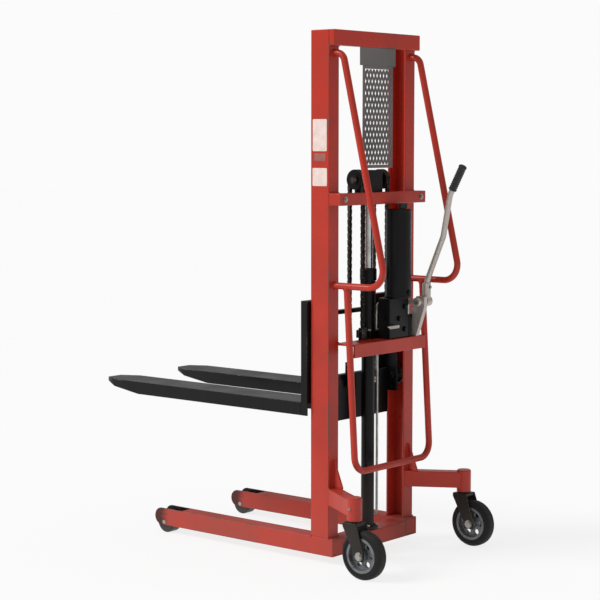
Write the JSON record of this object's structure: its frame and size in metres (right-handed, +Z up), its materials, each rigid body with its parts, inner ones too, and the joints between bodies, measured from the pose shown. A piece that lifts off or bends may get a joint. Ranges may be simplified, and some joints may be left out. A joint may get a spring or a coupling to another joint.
{
  "type": "hand pallet stacker",
  "caption": "Hand pallet stacker: fixed column mast on straddle legs and rear swivel casters, with a lever pump, lift ram and chain-hung fork carriage.",
  "frame": {"origin": "on the floor at the centre of the machine's plan", "axes": "+X to the machine's left, +Y to the rear where the operator stands, forks towards -Y, +Z up"},
  "size_m": [0.777, 1.512, 1.98],
  "materials": {
    "red_paint": "glossy paint",
    "black_paint": "semi-gloss paint",
    "grey_paint": "satin paint",
    "chromed_steel": "polished",
    "bare_steel": "zinc plated",
    "chain_steel": "oiled",
    "wheel_hub": "satin",
    "tyre_rubber": "matte",
    "roller_nylon": "smooth",
    "black_plastic": "matte"
  },
  "bodies": {
    "frame": {"left_column": "red_paint", "right_column": "red_paint", "top_beam": "red_paint", "upper_tie": "red_paint", "pump_shelf": "red_paint", "base_beam": "red_paint", "left_leg": "red_paint", "right_leg": "red_paint", "leg_roller_pins": "bare_steel", "left_outrigger": "red_paint", "right_outrigger": "red_paint", "left_push_handle": "red_paint", "right_push_handle": "red_paint", "guard_hoop": "red_paint", "guard_header": "grey_paint", "mesh_guard": "grey_paint", "cylinder_barrel": "black_paint", "cylinder_foot": "black_paint", "cylinder_gland": "black_paint", "cylinder_clamp": "black_paint", "rear_chain_anchors": "chain_steel", "rear_chains": "chain_steel", "pump_block": "black_paint", "oil_reservoir": "black_paint", "filler_cap": "black_plastic", "pressure_pipe": "bare_steel", "lever_bracket": "bare_steel", "frame_bolts": "bare_steel"},
    "ram": {"ram_rod": "chromed_steel", "crosshead": "black_paint", "sheave_axle": "bare_steel", "chain_turns": "chain_steel"},
    "carriage": {"carriage_frame": "black_paint", "left_fork": "black_paint", "right_fork": "black_paint", "left_fork_shank": "black_paint", "right_fork_shank": "black_paint", "front_chain_anchors": "chain_steel", "front_chains": "chain_steel"},
    "pump_lever": {"pump_rocker": "bare_steel", "pump_lever": "bare_steel", "lever_grip": "black_plastic"},
    "pump_plunger": {"pump_plunger": "chromed_steel"},
    "release_lever": {"release_lever": "bare_steel"},
    "left_sheave": {"left_sheave": "black_paint"},
    "left_lower_guide_roller": {"left_lower_guide_roller": "bare_steel"},
    "left_upper_guide_roller": {"left_upper_guide_roller": "bare_steel"},
    "left_caster": {"left_caster_yoke": "black_paint", "left_caster_axle": "bare_steel"},
    "left_wheel": {"left_caster_hub": "wheel_hub", "left_caster_tyre": "tyre_rubber"},
    "left_leg_roller": {"left_leg_roller": "roller_nylon"},
    "right_sheave": {"right_sheave": "black_paint"},
    "right_lower_guide_roller": {"right_lower_guide_roller": "bare_steel"},
    "right_upper_guide_roller": {"right_upper_guide_roller": "bare_steel"},
    "right_caster": {"right_caster_yoke": "black_paint", "right_caster_axle": "bare_steel"},
    "right_wheel": {"right_caster_hub": "wheel_hub", "right_caster_tyre": "tyre_rubber"},
    "right_leg_roller": {"right_leg_roller": "roller_nylon"}
  },
  "joints": [
    {"name": "ram_slide", "type": "slide", "parent": "frame", "child": "ram", "axis": [0, 0, 1], "range_m": [-0.238, 0.425], "deforming": ["rear_chains"]},
    {"name": "carriage_slide", "type": "slide", "parent": "ram", "child": "carriage", "axis": [0, 0, 1], "range_m": [-0.238, 0.425], "deforming": ["front_chains"]},
    {"name": "pump_lever_pivot", "type": "hinge", "parent": "frame", "child": "pump_lever", "pos_m": [-0.2, 0.541, 0.964], "axis": [1, 0, 0], "range_deg": [-35, 10]},
    {"name": "pump_plunger_slide", "type": "slide", "parent": "frame", "child": "pump_plunger", "axis": [0, 0, 1], "range_m": [-0.0075, 0.0235]},
    {"name": "release_lever_turn", "type": "hinge", "parent": "frame", "child": "release_lever", "pos_m": [-0.03, 0.513, 0.878], "axis": [0, 1, 0], "range_deg": [0, 60]},
    {"name": "left_sheave_spin", "type": "hinge", "parent": "ram", "child": "left_sheave", "pos_m": [0.075, 0.413, 1.432], "axis": [1, 0, 0], "range_deg": [-790, 445]},
    {"name": "left_lower_guide_roller_spin", "type": "hinge", "parent": "carriage", "child": "left_lower_guide_roller", "pos_m": [0.231, 0.3905, 0.665], "axis": [1, 0, 0], "range_deg": [-1450, 815]},
    {"name": "left_upper_guide_roller_spin", "type": "hinge", "parent": "carriage", "child": "left_upper_guide_roller", "pos_m": [0.231, 0.3905, 0.92], "axis": [1, 0, 0], "range_deg": [-815, 1450]},
    {"name": "left_caster_swivel", "type": "hinge", "parent": "frame", "child": "left_caster", "pos_m": [0.348, 0.621, 0.21], "axis": [0, 0, 1], "continuous": true},
    {"name": "left_wheel_spin", "type": "hinge", "parent": "left_caster", "child": "left_wheel", "pos_m": [0.348, 0.666, 0.09], "axis": [1, 0, 0], "continuous": true},
    {"name": "left_leg_roller_spin", "type": "hinge", "parent": "frame", "child": "left_leg_roller", "pos_m": [0.23, -0.419, 0.044], "axis": [1, 0, 0], "continuous": true},
    {"name": "right_sheave_spin", "type": "hinge", "parent": "ram", "child": "right_sheave", "pos_m": [-0.075, 0.413, 1.432], "axis": [1, 0, 0], "range_deg": [-790, 445]},
    {"name": "right_lower_guide_roller_spin", "type": "hinge", "parent": "carriage", "child": "right_lower_guide_roller", "pos_m": [-0.231, 0.3905, 0.665], "axis": [1, 0, 0], "range_deg": [-1450, 815]},
    {"name": "right_upper_guide_roller_spin", "type": "hinge", "parent": "carriage", "child": "right_upper_guide_roller", "pos_m": [-0.231, 0.3905, 0.92], "axis": [1, 0, 0], "range_deg": [-815, 1450]},
    {"name": "right_caster_swivel", "type": "hinge", "parent": "frame", "child": "right_caster", "pos_m": [-0.348, 0.621, 0.21], "axis": [0, 0, 1], "continuous": true},
    {"name": "right_wheel_spin", "type": "hinge", "parent": "right_caster", "child": "right_wheel", "pos_m": [-0.348, 0.666, 0.09], "axis": [1, 0, 0], "continuous": true},
    {"name": "right_leg_roller_spin", "type": "hinge", "parent": "frame", "child": "right_leg_roller", "pos_m": [-0.23, -0.419, 0.044], "axis": [1, 0, 0], "continuous": true}
  ],
  "couplings": [
    {"joint": "carriage_slide", "follows": "ram_slide", "ratio": 1},
    {"joint": "pump_plunger_slide", "follows": "pump_lever_pivot", "m_per_rad": -0.037},
    {"joint": "left_sheave_spin", "follows": "ram_slide", "rad_per_m": -31.949},
    {"joint": "left_lower_guide_roller_spin", "follows": "ram_slide", "rad_per_m": -58.824},
    {"joint": "left_upper_guide_roller_spin", "follows": "ram_slide", "rad_per_m": 58.824},
    {"joint": "right_sheave_spin", "follows": "ram_slide", "rad_per_m": -31.949},
    {"joint": "right_lower_guide_roller_spin", "follows": "ram_slide", "rad_per_m": -58.824},
    {"joint": "right_upper_guide_roller_spin", "follows": "ram_slide", "rad_per_m": 58.824}
  ]
}
